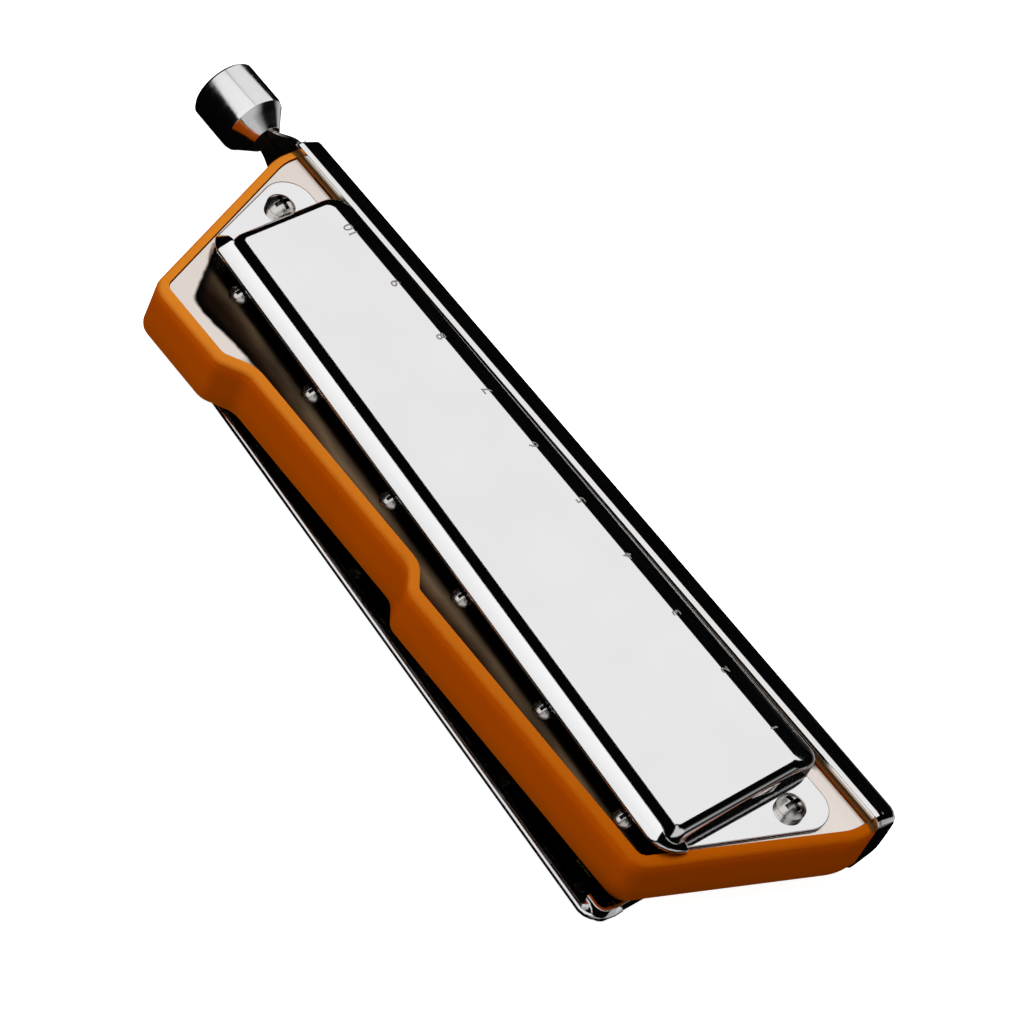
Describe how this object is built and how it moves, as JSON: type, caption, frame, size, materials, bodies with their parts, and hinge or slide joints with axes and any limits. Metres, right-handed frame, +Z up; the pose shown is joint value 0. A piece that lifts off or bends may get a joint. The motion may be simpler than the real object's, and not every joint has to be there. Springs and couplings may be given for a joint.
{
  "type": "chromatic harmonica",
  "caption": "Chromatic harmonica with chrome covers, a coloured comb, a rounded mouthpiece with round holes, and a spring-loaded slide worked by a push button at the treble end.",
  "frame": {"origin": "centre of the lower cover's flat face, on which the instrument rests", "axes": "+X along the instrument to the treble end, where the push button is; +Y away from the player, to the rear; +Z up, out of the upper cover's flat"},
  "size_m": [0.1267, 0.038, 0.0152],
  "materials": {
    "comb_plastic": "satin moulded orange-brown plastic",
    "cover_chrome": "polished",
    "mouth_chrome": "polished",
    "plate_nickel": "nickel-plated, satin",
    "slide_steel": "polished",
    "button_metal": "satin-polished",
    "reed_brass": "rolled",
    "rivet_brass": "plain",
    "valve_film": "matt film",
    "screw_steel": "nickel-plated",
    "bumper_rubber": "matt",
    "spring_wire": "bright wire"
  },
  "bodies": {
    "body": {"comb": "comb_plastic", "upper_reed_plate": "plate_nickel", "lower_reed_plate": "plate_nickel", "upper_draw_reeds": "reed_brass", "upper_blow_reeds": "reed_brass", "lower_draw_reeds": "reed_brass", "lower_blow_reeds": "reed_brass", "upper_rivets": "rivet_brass", "lower_rivets": "rivet_brass", "upper_outer_valves": "valve_film", "upper_inner_valves": "valve_film", "lower_outer_valves": "valve_film", "lower_inner_valves": "valve_film", "reed_plate_screws": "screw_steel", "upper_cover": "cover_chrome", "lower_cover": "cover_chrome", "cover_screws": "screw_steel", "cover_nuts": "screw_steel", "mouthpiece": "mouth_chrome", "mouthpiece_screws": "screw_steel", "slide_channel": "slide_steel", "slide_front_plate": "slide_steel", "slide_bumpers": "bumper_rubber", "slide_spring": "spring_wire"},
    "slide": {"slide": "slide_steel", "slide_button": "button_metal"}
  },
  "joints": [
    {"name": "slide_push", "type": "slide", "parent": "body", "child": "slide", "axis": [-1, 0, 0], "range_m": [0, 0.0045], "stiffness_N_per_m": 250, "springref_m": -0.003, "deforming": ["slide_spring"]}
  ]
}
